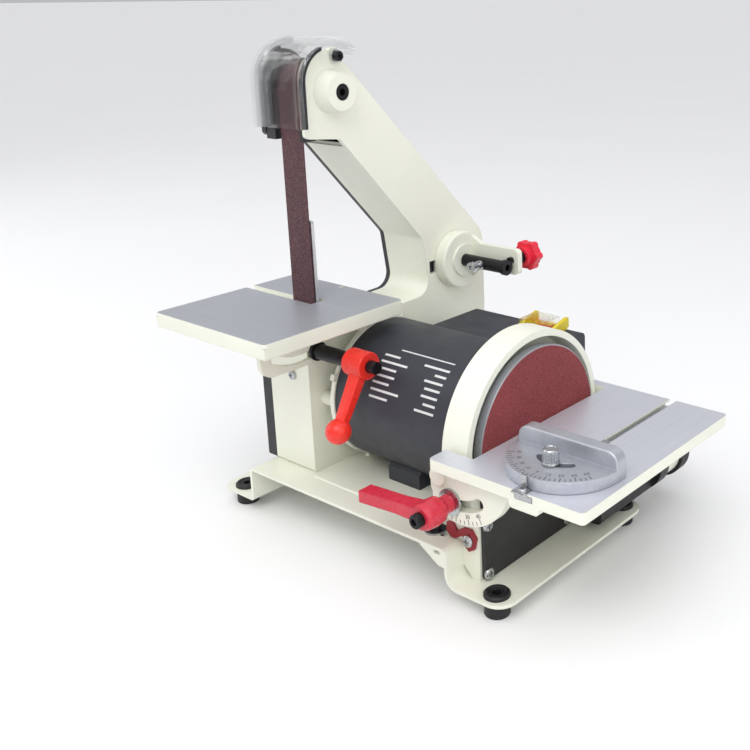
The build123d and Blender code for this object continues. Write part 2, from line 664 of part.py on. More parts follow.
def head_shroud():
    """Black liner of the head: a leg and an arch on each side of the belt, and the rim strips."""
    y, z = IDLER_Y, IDLER_Z
    shroud = []
    for x0, x1 in ((CASE_X0 + 0.2, BELT_X - 14.2), (BELT_X + 13.9, CASE_X1 - WEB_T - 0.02)):
        leg = block(x0, x1, -44, -36.5, 299.5, z) + block(x0, x1, -48.6, -36.5, 299.5, 309)
        arch = tube_x(IDLER_R + 4.4, IDLER_R + 1.6, x0, x1, y, z)
        arch &= block(x0, x1, -60, -12, z - 1, 400)
        arch &= rod_x(ARCH_R - 10.0, x0, x1, ARCH_Y, ARCH_Z) + block(x0, x1, -44, -12, 300, 400)
        shroud += [leg + arch]
    for x0, x1 in ((CAP_X0 + 0.2, CAP_X0 + 4.6), (CAP_X1 - 4.8, CAP_X1 - 0.5)):
        strip = arch_band(ARCH_R - RIM_T - 0.1, SEAL_T, x0, x1)
        shroud += [strip - block(x0 - 1, x1 + 1, -33.5, 60, 290, 400)]
    return Compound(shroud)


# ---- belt tension and tracking ----
def tension_arm():
    """Cream arm: a round flange on the casting and a beam that carries the tracking knob."""
    x0 = CASE_X1 + ARM_GAP
    y, z = TENSION_Y, TENSION_Z
    arm = rod_x(25, x0, -51, y, z)
    arm = fillet(arm.edges().group_by(Axis.X)[-1], 2)
    arm += rod_x(14, -52, -49, y, z)
    beam = block(-53, 2, y + 10, y + 16, z - 8.5, z + 13.5)
    beam = fillet(beam.edges().filter_by(Axis.Y).group_by(Axis.X)[-1], 4)
    web = slab_y([(-52, z - 18), (-40, z - 8.4), (-40, z + 13.4), (-52, z + 20)], 1, y + 10.5, y + 15.5)
    arm += beam + web
    arm -= rod_x(5.5, -70, -40, y, z)
    arm -= rod_y(3.0, y + 5, y + 20, KNOB_X, KNOB_Z)
    return arm


def tension_axle():
    """Black axle: the wheel runs on its inner end, the tracking knob bears on its outer end."""
    y, z = TENSION_Y, TENSION_Z
    axle = rod_x(5, -101.5, -69, y, z) + rod_x(5.5, -70.3, -5, y, z) + rod_x(6.6, -5, -1, y, z)
    axle += tube_x(7, 5, -99.4, BELT_X - 12.6, y, z)
    axle += tube_x(6.8, 5, BELT_X + 12.6, -68, y, z)
    axle -= rod_x(3.0, -5, 0, y, z)
    axle -= rod_y(2.5, y - 8, y + 1, -27, z)
    return axle


def tension_lock_screw():
    y, z = TENSION_Y, TENSION_Z
    screw = rod_y(2.5, y - 16, y, -27, z) + rod_y(4.6, y - 18, y - 14, -27, z)
    screw += rod_y(4.0, y - 8.2, y - 5.6, -27, z)
    return screw - rod_y(1.8, y - 20, y - 15.5, -27, z)


def tracking_stud():
    y = TENSION_Y
    stud = rod_y(2.98, y + 6.75, y + 24, KNOB_X, KNOB_Z)
    stud += rod_y(5.6, y + 16.3, y + 22.7, KNOB_X, KNOB_Z)
    return stud


def tracking_knob():
    """Six-lobed knob on the stud."""
    y0, y1 = TENSION_Y + 22.7, TENSION_Y + 38
    body = Circle(11.4)
    for n in range(6):
        body += Rot(0, 0, n * 60) * Pos(10.0, 0) * Circle(3.4)
    body = extrude(body, amount=9.5)
    body = fillet(body.edges().group_by(Axis.Z)[-1], 1.6)
    knob = Pos(KNOB_X, y1 - 9.5, KNOB_Z) * Rot(-90, 0, 0) * body
    knob += rod_y(8.5, y0, y1 - 9, KNOB_X, KNOB_Z)
    return knob - rod_y(2.98, y0 - 1, y0 + 1.3, KNOB_X, KNOB_Z)


# ---- belt table ----
def belt_table():
    x0, x1 = BELT_TABLE_X0, BELT_TABLE_X0 + BELT_TABLE
    y0, y1 = BELT_TABLE_Y0, BELT_TABLE_Y0 + BELT_TABLE
    z1 = BELT_TABLE_Z
    z0 = z1 - TABLE_T
    table = block(x0, x1, y0, y1, z1 - 3.2, z1)
    table = fillet(table.edges().filter_by(Axis.Z), 3)
    skirt = Pos((x0 + x1) / 2, (y0 + y1) / 2, z1 - 3.2) * extrude(
        Rectangle(BELT_TABLE, BELT_TABLE), amount=-(TABLE_T - 3.2), taper=4)
    skirt = fillet(skirt.edges().group_by(Axis.Z)[0], 1.5)
    table += skirt
    py = BELT_FRONT_Y
    front, rear, back = py - 5.2, py + 2.4, py + 8.4
    section = [(front - 13.5, z0 - 1), (front, z1 - 1.0), (front, z1 + 1), (back, z1 + 1), (back, z0 - 1)]
    table -= slab_x(section, 0, BELT_X - 15, BELT_X + 15)
    narrow = [(front - 13.5, z0 - 1), (front, z1 - 1.0), (front, z1 + 1), (rear, z1 + 1), (rear, z0 - 1)]
    table -= slab_x(narrow, 0, x0 - 1, BELT_X)
    return table - rod_z(2.2, z0 - 1, z1 + 1, -86, -5)


def belt_trunnion():
    """Plate below the table with the arc slot for the tilt clamp."""
    py, pz = BELT_PIVOT
    z0 = BELT_TABLE_Z - TABLE_T
    points = [(-108, z0), (-48.5, z0), (-48.5, 132.5), (-78, 131.8), (-108, 132.5)]
    plate = slab_x(points, [1, 1, 7, 10, 11], -61.5, -57.5)
    plate += block(-61.5, -50, -100, -54, z0 - 3.5, z0)
    ry, rz = BELT_CLAMP[0] - py, BELT_CLAMP[1] - pz
    angle = degrees(atan2(rz, ry))
    slot = arc_slot(hypot(ry, rz), STUD_NECK_R + 0.2, angle - TILT - 1, angle + 1)
    return plate - Pos(-65, py, pz) * extrude(Plane.YZ * slot, amount=8)


def belt_clamp_stud():
    y, z = BELT_CLAMP
    stud = rod_x(STUD_R, -77, -62.2, y, z) + rod_x(STUD_NECK_R, -62.5, -57, y, z)
    stud += rod_x(7.5, -57.3, -54.5, y, z) + rod_x(6, -55, -18.3, y, z) + rod_x(3.5, -19, 3, y, z)
    stud += rod_x(4.75, 2, 9.5, y, z)
    return stud - block(8.2, 10, y - 0.6, y + 0.6, z - 6, z + 6)


def belt_lever():
    """Moulded lever with a ribbed hub and a ball at the end."""
    y, z = BELT_CLAMP
    hub = rod_x(10.4, -18, 1.4, 0, 0)
    hub = fillet(hub.edges(), 1)
    for n in range(14):
        hub -= Rot(90 + n * 12.5, 0, 0) * Pos(0, 10.7, 0) * rod_x(0.55, -17, 0.4, 0, 0)
    arm = loft([Pos(0, 0, 0) * Rot(90, 0, 0) * Rectangle(12, 9.5),
                Pos(0, -46, 0) * Rot(90, 0, 0) * Rectangle(9, 8)])
    arm = fillet(arm.edges().filter_by(lambda e: abs(e.tangent_at(0.5).Y) > 0.9), 2)
    lever = Pos(-7, 0, 0) * (arm + Pos(0, -51, 0) * Sphere(9.5))
    lever = Rot(60, 0, 0) * lever
    lever = hub + lever
    lever -= rod_x(3.55, -30, 5, 0, 0)
    return Pos(0, y, z) * lever


# ---- disc side ----
def disc_guard():
    """Casting round the disc: a ring above and a dust box below."""
    y1 = BOX_Y
    upper = rod_x(GUARD_R, GUARD_X0, GUARD_X1) & block(80, 120, -80, 80, BOX_TOP, 200)
    middle = block(GUARD_X0, BOX_X1, -y1, y1, BASE_TOP, BOX_TOP + 6)
    lower_section = [(BOX_X0, 21.6), (BOX_X0 + 8.1, FLANGE_Z), (BOX_X1, FLANGE_Z), (BOX_X1, BASE_TOP),
                     (BOX_X0, BASE_TOP)]
    lower = slab_y(lower_section, 0, -y1, y1)
    guard = upper + middle + lower
    guard -= rod_x(GUARD_R - 5, GUARD_X0 + 3, 130) & block(80, 130, -80, 80, BOX_TOP, 200)
    guard -= block(GUARD_X0 + 3, 130, -y1 + 3.5, y1 - 3.5, BASE_TOP + 3, BOX_TOP + 6.1)
    inner_section = [(BOX_X0 + 2.5, 22.6), (BOX_X0 + 9.1, FLANGE_Z + 2.5), (130, FLANGE_Z + 2.5),
                     (130, BASE_TOP + 4), (BOX_X0 + 2.5, BASE_TOP + 4)]
    guard -= slab_y(inner_section, 0, -y1 + 3.5, y1 - 3.5)
    front_ear = block(93, BOX_X1, -y1 - 6.7, -y1 + 0.5, 58, 88)
    rear_ear = block(98, BOX_X1, y1 - 0.5, y1 + 5.7, 70, 95.5)
    for ear in (front_ear, rear_ear):
        guard += fillet(ear.edges().filter_by(Axis.Y), 5)
    for y, z in PANEL_SCREWS:
        guard += rod_x(4.5, BOX_X1 - 4, BOX_X1, y, z)
        guard -= rod_x(1.95, BOX_X1 - 4, BOX_X1 + 1, y, z)
    guard -= rod_x(11, 80, 95)
    guard -= rod_y(3.9, -y1 - 8, -y1 + 5, DISC_CLAMP[0], DISC_CLAMP[1])
    guard -= rod_y(2.9, y1 - 5, y1 + 8, REAR_PIN[0], REAR_PIN[1])
    guard -= rod_y(1.95, -y1 - 1, -y1 + 3, 108, 43)
    return guard


def disc_panel():
    panel = block(BOX_X1, BOX_X1 + 3, -68, 68, 14, 84)
    panel = fillet(panel.edges().filter_by(Axis.X), 3)
    for y, z in PANEL_SCREWS:
        panel -= rod_x(2.1, BOX_X1 - 1, BOX_X1 + 5, y, z)
    panel -= block(BOX_X1 - 1, BOX_X1 + 4, 40, 62, 24, 50)
    return panel


def guard_screws():
    screws = []
    for y, z in PANEL_SCREWS:
        screw = Rot(0, 90, 0) * cross_screw(4.2, 2.4, 1.9, 7)
        screws.append(Pos(BOX_X1 + 3, y, z) * screw)
    pointer_screw = upright_y(cross_screw(4.4, 2.6, 1.9, 4.5))
    screws.append(Pos(108, -BOX_Y - 2, 43) * pointer_screw)
    return Compound(screws)


def disc_plate():
    plate = rod_x(DISC_D / 2 + 1, 107.5, FACE_X - 1)
    plate += rod_x(14, 93, 108)
    plate = plate - rod_x(SHAFT_R, 80, 107.5)
    return plate


def abrasive_disc():
    return rod_x(DISC_D / 2, FACE_X - 1, FACE_X)


def dust_duct():
    """Moulded black hood from the panel to the round port."""
    section = [(BOX_X1 + 3, 20), (147, 20), (147, 51), (138, 60), (BOX_X1 + 3, 60)]
    outer = slab_y(section, [0, 4, 3, 3, 0], 30, 104)
    inner_section = [(BOX_X1 + 1, 22.5), (144.5, 22.5), (144.5, 50), (137, 57.5), (BOX_X1 + 1, 57.5)]
    duct = outer - slab_y(inner_section, [0, 2, 2, 2, 0], 32.5, 106)
    collar = rod_y(PORT_R + 2, 100, 112, PORT_X, PORT_Z)
    collar -= rod_y(PORT_R - 4, 99, 104.5, PORT_X, PORT_Z) + rod_y(PORT_R, 104, 113, PORT_X, PORT_Z)
    collar -= block(80, BOX_X1 + 3, 90, 120, 0, 80)
    duct = duct - rod_y(PORT_R - 4, 99, 105, PORT_X, PORT_Z)
    return duct + collar


def dust_port():
    """Tube of the dust port with a black rubber ring at its end."""
    tube = rod_y(PORT_R, 104.5, 140, PORT_X, PORT_Z) - rod_y(PORT_R - 2.5, 104, 141, PORT_X, PORT_Z)
    return tube


def port_ring():
    ring = rod_y(PORT_R + 3, 131, 143, PORT_X, PORT_Z) - rod_y(PORT_R, 130, 140, PORT_X, PORT_Z)
    ring -= rod_y(PORT_R - 2.5, 135, 145, PORT_X, PORT_Z)
    return fillet(ring.edges().group_by(Axis.Y)[-1], 0.9)


def tilt_pointer():
    """Zig-zag red pointer for the tilt scale."""
    points = [(87.5, 44), (91.5, 40.6), (96, 41), (102.5, 45), (103.5, 38), (108, 34.5), (113, 37.5),
              (115, 46), (110.5, 51.5), (103, 51), (97, 46.5), (93, 53), (88, 51)]
    pointer = slab_y(points, 0.5, -BOX_Y - 2, -BOX_Y)
    return pointer - rod_y(1.95, -BOX_Y - 3, -BOX_Y + 1, 108, 43)


def disc_table():
    x0, x1 = DISC_TABLE_X0, DISC_TABLE_X0 + DISC_TABLE_D
    y0, y1 = DISC_TABLE_Y0, DISC_TABLE_Y0 + DISC_TABLE_W
    z1 = DISC_TABLE_Z
    z0 = z1 - DISC_TABLE_T
    table = block(x0, x1, y0, y1, z0, z1)
    table = fillet(table.edges().filter_by(Axis.Z), 3)
    notch = [(x0 - 1, z0 - 1), (128.2, z0 - 1), (FACE_X + 4, z1 - 1.2), (FACE_X + 4, z1 + 1), (x0 - 1, z1 + 1)]
    table -= slab_y(notch, 0, -76, 76)
    table += block(SLOT_X - 12, SLOT_X + 12, y0, y1, z1 - 13, z0 + 0.5)
    table = chamfer(table.edges().filter_by(Axis.Y).group_by(Axis.Z)[0], 2)
    table -= block(SLOT_X - 3, SLOT_X + 3, y0 - 1, y1 + 1, z1 - 3, z1 + 1)
    table -= block(SLOT_X - 7, SLOT_X + 7, y0 - 1, y1 + 1, z1 - 5.7, z1 - 1.5)
    return table


def half_moon(radius, start, end, y0, y1):
    """Plate in X and Z under the table, about the tilt axis, cut off at the table's underside."""
    face = Circle(radius) & Pos(0, -DISC_TABLE_T - radius) * Rectangle(2 * radius, 2 * radius)
    plate = Pos(DISC_PIVOT_X, y1, DISC_TABLE_Z) * extrude(Plane.XZ * face, amount=y1 - y0)
    return plate & block(start, end, y0, y1, 20, 200)


def disc_trunnions():
    px, pz = DISC_PIVOT_X, DISC_TABLE_Z
    front = half_moon(46, 88, 200, -84, -77)
    front += slab_y([(86.5, 100), (101, 100), (101, 78), (86.5, 78)], [0.5, 0.5, 1, 5], -84, -77)
    front += rod_y(6.5, -86, -80, 94, 92)
    rx, rz = DISC_CLAMP[0] - px, DISC_CLAMP[1] - pz
    angle = degrees(atan2(rz, rx))
    slot = arc_slot(hypot(rx, rz), 4.2, angle - 1, angle + TILT + 1)
    front -= Pos(px, -70, pz) * extrude(Plane.XZ * slot, amount=20)
    rear = half_moon(28, 60, 200, 77, 84)
    rx, rz = REAR_PIN[0] - px, REAR_PIN[1] - pz
    angle = degrees(atan2(rz, rx))
    slot = arc_slot(hypot(rx, rz), 3.2, angle - 1, angle + TILT + 1)
    rear -= Pos(px, 90, pz) * extrude(Plane.XZ * slot, amount=20)
    return Compound([front, rear])


def disc_clamp_bolts():
    """Front clamp bolt, and the guide pin of the rear trunnion."""
    x, z = DISC_CLAMP
    front = rod_y(3.85, -117, -67.5, x, z)
    front += Pos(x, -113, z) * upright_y(socket_screw(4.9, 5.5, 3.0, 2, 4.5))
    x, z = REAR_PIN
    rear = rod_y(2.85, 67.5, 86, x, z) + rod_y(6.0, 84.3, 85.6, x, z)
    rear += rod_y(4.5, 85.6, 89, x, z)
    return Compound([front, rear])


def disc_clamp_lever():
    """Red barrel hub and a tapered arm that stands away from it."""
    x, z = DISC_CLAMP
    profile = Polyline((0, 0), (6.3, 0), (6.3, 7), (9.2, 11), (9.8, 17), (9.2, 24), (7.6, 27), (0, 27), close=True)
    hub = revolve(Plane.XZ * make_face(profile), Axis.Z)
    hub = Pos(0, -86, 0) * upright_y(hub)
    arm = loft([Plane.YZ.offset(0) * Pos(-104, 0) * Rectangle(14, 10),
                Plane.YZ.offset(-25) * Pos(-105, -1) * Rectangle(11, 8.5),
                Plane.YZ.offset(-60) * Pos(-107, -2) * Rectangle(11.5, 8.5)], ruled=True)
    arm = fillet(arm.edges().group_by(Axis.X)[0], 2.5)
    lever = hub + arm
    lever -= rod_y(3.9, -130, -80, 0, 0)
    return Pos(x, 0, z) * lever


# ---- mitre gauge ----
def miter_bar():
    """T-shaped bar that slides in the table slot, with the pivot pin of the head."""
    z = DISC_TABLE_Z
    bar = block(SLOT_X - 6.5, SLOT_X + 6.5, -93, -2, z - 5.5, z - 1.8)
    bar += block(SLOT_X - 2.7, SLOT_X + 2.7, -93, -2, z - 2, z + 0.2)
    bar += rod_z(3.0, z, z + 5.5, SLOT_X, MITER_PIVOT_Y)
    bar += rod_z(2.5, z, z + 11, SLOT_X, MITER_KNOB_Y)
    return bar


def miter_head():
    """Half-round head with a raised rim, an arc slot and a fence wall along its back."""
    z0 = DISC_TABLE_Z + 0.25
    disc = Circle(MITER_R) & Pos(0, -MITER_R) * Rectangle(2 * MITER_R, 2 * MITER_R)
    head = extrude(disc, amount=8)
    wall = slab_y([(-MITER_R, 0), (MITER_R, 0), (MITER_R, 19), (-MITER_R, 19)], [0, 0, 8, 8], 0, 9.5)
    wall = fillet(wall.edges().filter_by(lambda e: abs(e.tangent_at(0.5).Y) < 0.5).group_by(Axis.Y)[0], 1.2)
    head += Pos(0, -1, 0) * wall
    slot = arc_slot(MITER_PIVOT_Y - MITER_KNOB_Y, 2.8, -90 - 46, -90 + 46)
    head -= Pos(0, 0, -1) * extrude(slot, amount=12)
    head -= Pos(0, 0, 2.5) * Cylinder(3.05, 8)
    return Pos(SLOT_X, MITER_PIVOT_Y, z0) * head


def miter_knob():
    """Knurled knob on the stud of the bar."""
    z = DISC_TABLE_Z + 8.6
    knob = rod_z(5.5, z + 1.2, z + 10.2, SLOT_X, MITER_KNOB_Y)
    knob = chamfer(knob.edges(), 0.6)
    knob += rod_z(6.0, z, z + 1.2, SLOT_X, MITER_KNOB_Y)
    return knob - rod_z(2.52, z - 1, z + 3, SLOT_X, MITER_KNOB_Y)


def miter_pointer():
    """Bent strip on the bar that points at the angle scale."""
    z = DISC_TABLE_Z + 0.2
    y = MITER_PIVOT_Y - MITER_R - 0.4
    foot = block(SLOT_X - 6, SLOT_X + 2, y - 9, y, z, z + 1.2)
    leaf = block(SLOT_X - 4, SLOT_X, y - 1.2, y, z, z + 9.6)
    screw = Pos(SLOT_X, y - 5, z + 1.2) * cross_screw(3.0, 2.0, 1.4, 1.0)
    return foot + leaf + screw


NODES = {
    "base_plate": base_plate,
    "rubber_feet": rubber_feet,
    "base_bolts": base_bolts,
    "washers": washers,
    "motor_foot": motor_foot,
    "motor_shell": motor_shell,
    "belt_end_bell": belt_end_bell,
    "disc_end_bell": disc_end_bell,
    "stator_core": stator_core,
    "stator_windings": stator_windings,
    "rotor_core": rotor_core,
    "motor_shaft": motor_shaft,
    "cooling_fan": cooling_fan,
    "motor_bearings": motor_bearings,
    "switch_box": switch_box,
    "switch_bezel": switch_bezel,
    "switch_rocker": switch_rocker,
    "switch_boot": switch_boot,
    "cable_gland": cable_gland,
    "drive_wheel": drive_wheel,
    "drive_wheel_nut": drive_wheel_nut,
    "belt_frame": belt_frame,
    "belt_side_cover": belt_side_cover,
    "case_screws": case_screws,
    "platen": platen,
    "sanding_belt": sanding_belt,
    "idler_wheel": idler_wheel,
    "idler_bearings": idler_bearings,
    "idler_axle": idler_axle,
    "tension_wheel": tension_wheel,
    "tension_bearings": tension_bearings,
    "tension_arm": tension_arm,
    "tension_axle": tension_axle,
    "tension_lock_screw": tension_lock_screw,
    "tracking_stud": tracking_stud,
    "tracking_knob": tracking_knob,
    "eye_guard": eye_guard,
    "eye_guard_screw": eye_guard_screw,
    "head_shroud": head_shroud,
    "belt_table": belt_table,
    "belt_trunnion": belt_trunnion,
    "belt_clamp_stud": belt_clamp_stud,
    "belt_lever": belt_lever,
    "disc_guard": disc_guard,
    "disc_panel": disc_panel,
    "guard_screws": guard_screws,
    "disc_plate": disc_plate,
    "abrasive_disc": abrasive_disc,
    "dust_duct": dust_duct,
    "dust_port": dust_port,
    "port_ring": port_ring,
    "tilt_pointer": tilt_pointer,
    "disc_table": disc_table,
    "disc_trunnions": disc_trunnions,
    "disc_clamp_bolts": disc_clamp_bolts,
    "disc_clamp_lever": disc_clamp_lever,
    "miter_bar": miter_bar,
    "miter_head": miter_head,
    "miter_knob": miter_knob,
    "miter_pointer": miter_pointer,
}

os.makedirs("parts", exist_ok=True)
for name, make in NODES.items():
    shape = make()
    shape.label = name
    export_step(shape, f"parts/{name}.step")
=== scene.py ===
import bpy, bmesh
from math import sin, cos, pi, radians
from mathutils import Vector, Matrix


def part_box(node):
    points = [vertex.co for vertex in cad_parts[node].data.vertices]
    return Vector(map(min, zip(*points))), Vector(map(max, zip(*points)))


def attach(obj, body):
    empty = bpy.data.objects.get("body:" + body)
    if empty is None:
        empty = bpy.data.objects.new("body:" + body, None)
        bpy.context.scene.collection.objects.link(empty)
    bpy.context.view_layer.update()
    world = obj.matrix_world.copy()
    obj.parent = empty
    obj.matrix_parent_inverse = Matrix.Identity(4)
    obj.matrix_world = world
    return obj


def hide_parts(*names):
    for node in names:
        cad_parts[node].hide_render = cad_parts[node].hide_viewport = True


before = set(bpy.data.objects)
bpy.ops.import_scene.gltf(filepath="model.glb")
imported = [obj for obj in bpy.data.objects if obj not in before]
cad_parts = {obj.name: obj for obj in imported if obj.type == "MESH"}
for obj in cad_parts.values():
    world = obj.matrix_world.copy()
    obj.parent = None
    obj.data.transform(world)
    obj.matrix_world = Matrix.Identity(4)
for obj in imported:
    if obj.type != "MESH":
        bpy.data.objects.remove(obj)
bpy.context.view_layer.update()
MM = 0.001


# ---- materials ----
class Nodes:
    """Small wrapper that keeps node code short."""

    def __init__(self, name):
        self.mat = bpy.data.materials.new(name)
        self.mat.use_nodes = True
        self.tree = self.mat.node_tree
        self.bsdf = self.tree.nodes["Principled BSDF"]
        self.coord = self.tree.nodes.new("ShaderNodeTexCoord").outputs["Object"]

    def add(self, kind, inputs=None, **props):
        node = self.tree.nodes.new(kind)
        for key, value in props.items():
            setattr(node, key, value)
        for key, value in (inputs or {}).items():
            if hasattr(value, "is_linked"):
                self.tree.links.new(value, node.inputs[key])
            else:
                node.inputs[key].default_value = value
        return node

    def set(self, **values):
        for key, value in values.items():
            socket = self.bsdf.inputs[key.replace("_", " ")]
            if hasattr(value, "is_linked"):
                self.tree.links.new(value, socket)
            else:
                socket.default_value = value

    def stretch(self, scale):
        return self.add("ShaderNodeMapping", {"Vector": self.coord, "Scale": scale}).outputs[0]

    def noise(self, scale, detail=3.0, rough=0.5, vector=None):
        node = self.add("ShaderNodeTexNoise", {"Vector": vector or self.coord, "Scale": scale,
                                              "Detail": detail, "Roughness": rough})
        return node.outputs["Fac"]

    def ramp(self, fac, low, high, a=(0, 0, 0, 1), b=(1, 1, 1, 1)):
        node = self.add("ShaderNodeValToRGB", {"Fac": fac})
        node.color_ramp.elements[0].position, node.color_ramp.elements[0].color = low, a
        node.color_ramp.elements[1].position, node.color_ramp.elements[1].color = high, b
        return node.outputs["Color"]

    def span(self, fac, low, high, to_low, to_high):
        return self.add("ShaderNodeMapRange", {"Value": fac, "From Min": low, "From Max": high,
                                               "To Min": to_low, "To Max": to_high}).outputs[0]

    def mix(self, fac, a, b):
        node = self.add("ShaderNodeMix", data_type="RGBA")
        for index, value in ((0, fac), (6, a), (7, b)):
            if hasattr(value, "is_linked"):
                self.tree.links.new(value, node.inputs[index])
            else:
                node.inputs[index].default_value = value
        return node.outputs[2]

    def math(self, op, a, b=0.0):
        return self.add("ShaderNodeMath", {0: a, 1: b}, operation=op).outputs[0]

    def bump(self, height, distance, strength=1.0, radius=0.0, after=None):
        inputs = {"Height": height, "Distance": distance, "Strength": strength}
        if radius:
            inputs["Normal"] = self.add("ShaderNodeBevel", {"Radius": radius}, samples=4).outputs[0]
        if after:
            inputs["Normal"] = after
        out = self.add("ShaderNodeBump", inputs).outputs[0]
        self.set(Normal=out)
        return out

    def facing_up(self):
        """1 on faces that point up in the piece's own frame, else 0."""
        normal = self.tree.nodes.new("ShaderNodeTexCoord").outputs["Normal"]
        z = self.add("ShaderNodeSeparateXYZ", {0: normal}).outputs[2]
        return self.span(z, 0.9, 0.96, 0.0, 1.0)


def rgb(r, g, b):
    """sRGB 0-255 to linear."""
    out = []
    for v in (r, g, b):
        v /= 255
        out.append(v / 12.92 if v <= 0.04045 else ((v + 0.055) / 1.055) ** 2.4)
    return (*out, 1.0)


def shade(color, factor):
    return (color[0] * factor, color[1] * factor, color[2] * factor, 1.0)


def paint(name, color, rough, peel, dirt, edge=0.0007):
    n = Nodes(name)
    cloud = n.noise(9, 4, 0.6)
    base = n.mix(n.span(cloud, 0.35, 0.7, 0, 1), color, shade(color, 1 - dirt))
    speck = n.ramp(n.noise(420, 2, 0.5), 0.70, 0.76)
    base = n.mix(n.math("MULTIPLY", speck, 0.25), base, shade(color, 0.55))
    n.set(Base_Color=base, Roughness=n.span(n.noise(60, 3), 0.3, 0.7, rough - 0.06, rough + 0.08))
    n.bump(n.noise(900, 2, 0.5), 0.00008 * peel, 0.6, edge)
    return n


def plastic(name, color, rough, grain=1.0, edge=0.0005):
    n = Nodes(name)
    cloud = n.noise(24, 3, 0.6)
    n.set(Base_Color=n.mix(n.span(cloud, 0.3, 0.7, 0, 1), color, shade(color, 0.86)),
          Roughness=n.span(n.noise(140, 4), 0.3, 0.7, rough - 0.05, rough + 0.09))
    n.bump(n.noise(1500, 3, 0.6), 0.00006 * grain, 0.6, edge)
    return n


def metal(name, color, rough, scale, depth, edge=0.0003, metallic=1.0):
    """Metal with brushing along the axis that scale stretches."""
    n = Nodes(name)
    lines = n.noise(1.0, 5, 0.65, n.stretch(scale))
    cloud = n.noise(30, 4, 0.6)
    base = n.mix(n.span(cloud, 0.35, 0.7, 0, 1), color, shade(color, 0.82))
    base = n.mix(n.span(lines, 0.35, 0.65, 0, 0.35), base, shade(color, 0.7))
    n.set(Base_Color=base, Metallic=metallic,
          Roughness=n.span(lines, 0.3, 0.7, rough - 0.08, rough + 0.1))
    n.bump(lines, depth, 0.5, edge)
    return n


CREAM = rgb(236, 237, 222)
cream = paint("cream_enamel", CREAM, 0.36, 1.0, 0.06)
black_shell = paint("charcoal_shell", rgb(50, 52, 60), 0.5, 2.2, 0.2, 0.0004)
black_plastic = plastic("black_plastic", rgb(30, 31, 34), 0.42)
black_steel = metal("black_oxide", rgb(34, 34, 37), 0.36, (300, 300, 300), 0.00003, 0.0003, 0.6)
rubber = plastic("black_rubber", rgb(24, 24, 26), 0.5, 2.0, 0.0008)
panel_black = paint("black_panel", rgb(40, 38, 38), 0.46, 1.6, 0.25)
lever_red = plastic("lever_orange_red", rgb(236, 48, 36), 0.27, 0.5, 0.0008)
clamp_red = plastic("lever_crimson", rgb(205, 44, 66), 0.25, 0.5, 0.0012)
knob_red = plastic("knob_red", rgb(232, 44, 66), 0.34, 0.6, 0.0008)
pointer_red = plastic("pointer_red", rgb(150, 22, 36), 0.34, 0.6)
yellow = plastic("switch_yellow", rgb(228, 206, 40), 0.3, 0.5)
rocker_red = plastic("rocker_red", rgb(200, 30, 30), 0.3, 0.5)
zinc = metal("zinc_screw", rgb(196, 198, 200), 0.24, (500, 500, 500), 0.00002)
bright = metal("ground_steel", rgb(176, 177, 180), 0.3, (40, 900, 900), 0.00001)
platen_steel = metal("platen_steel", rgb(228, 229, 232), 0.34, (900, 900, 40), 0.00001)
copper = metal("copper_wire", rgb(190, 110, 60), 0.35, (900, 60, 60), 0.00005)
cast = metal("cast_aluminium", rgb(200, 203, 210), 0.4, (350, 350, 350), 0.00004, 0.0009, 0.75)


def table_top(name, color, brush, metallic):
    """Machined top, cream enamel on the sides and below."""
    n = Nodes(name)
    up = n.facing_up()
    lines = n.noise(1.0, 6, 0.7, n.stretch(brush))
    swirl = n.noise(7, 4, 0.6)
    metal_color = n.mix(n.span(lines, 0.3, 0.7, 0, 0.6), color, shade(color, 0.82))
    metal_color = n.mix(n.span(swirl, 0.35, 0.75, 0, 0.5), metal_color, shade(color, 1.08))
    sides = n.mix(n.span(n.noise(12, 3), 0.35, 0.7, 0, 1), CREAM, shade(CREAM, 0.93))
    rough_top = n.span(lines, 0.3, 0.7, 0.34, 0.5)
    n.set(Base_Color=n.mix(up, sides, metal_color), Metallic=n.math("MULTIPLY", up, metallic),
          Roughness=n.add("ShaderNodeMix", {0: up, 2: 0.36, 3: rough_top}).outputs[0])
    n.bump(n.math("MULTIPLY", lines, up), 0.00004, 0.6, 0.0008)
    return n


belt_top = table_top("machined_belt_table", rgb(186, 189, 195), (6, 900, 60), 0.55)
disc_top = table_top("machined_disc_table", rgb(214, 216, 224), (900, 6, 60), 0.55)


def abrasive(name, color, dark, scale, sparkle_from=0.70):
    n = Nodes(name)
    grit = n.add("ShaderNodeTexVoronoi", {"Vector": n.coord, "Scale": scale}).outputs["Distance"]
    fine = n.noise(scale * 1.7, 3, 0.7)
    patch = n.noise(14, 4, 0.65)
    base = n.mix(n.span(fine, 0.35, 0.68, 0, 1), color, dark)
    base = n.mix(n.span(patch, 0.4, 0.75, 0, 0.35), base, shade(color, 1.35))
    sparkle = n.ramp(n.noise(scale * 2.3, 1, 0.5), sparkle_from, sparkle_from + 0.04)
    base = n.mix(n.math("MULTIPLY", sparkle, 0.5), base, shade(color, 3.0))
    n.set(Base_Color=base, Roughness=n.span(fine, 0.3, 0.7, 0.6, 0.9))
    height = n.math("ADD", n.math("MULTIPLY", grit, 0.6), fine)
    n.bump(height, 0.00025, 0.8)
    return n


belt_grit = abrasive("belt_grit", rgb(88, 58, 62), rgb(50, 30, 34), 480, 0.64)
disc_grit = abrasive("disc_grit", rgb(142, 62, 64), rgb(106, 38, 42), 600, 0.67)

clear = Nodes("clear_guard")
scuff = clear.noise(40, 4, 0.6)
clear.set(Base_Color=(0.93, 0.95, 0.95, 1), Roughness=clear.span(scuff, 0.4, 0.75, 0.02, 0.06), IOR=1.2,
          Transmission_Weight=1.0, Alpha=0.3)
clear.bump(clear.noise(90, 2), 0.00004, 0.4)

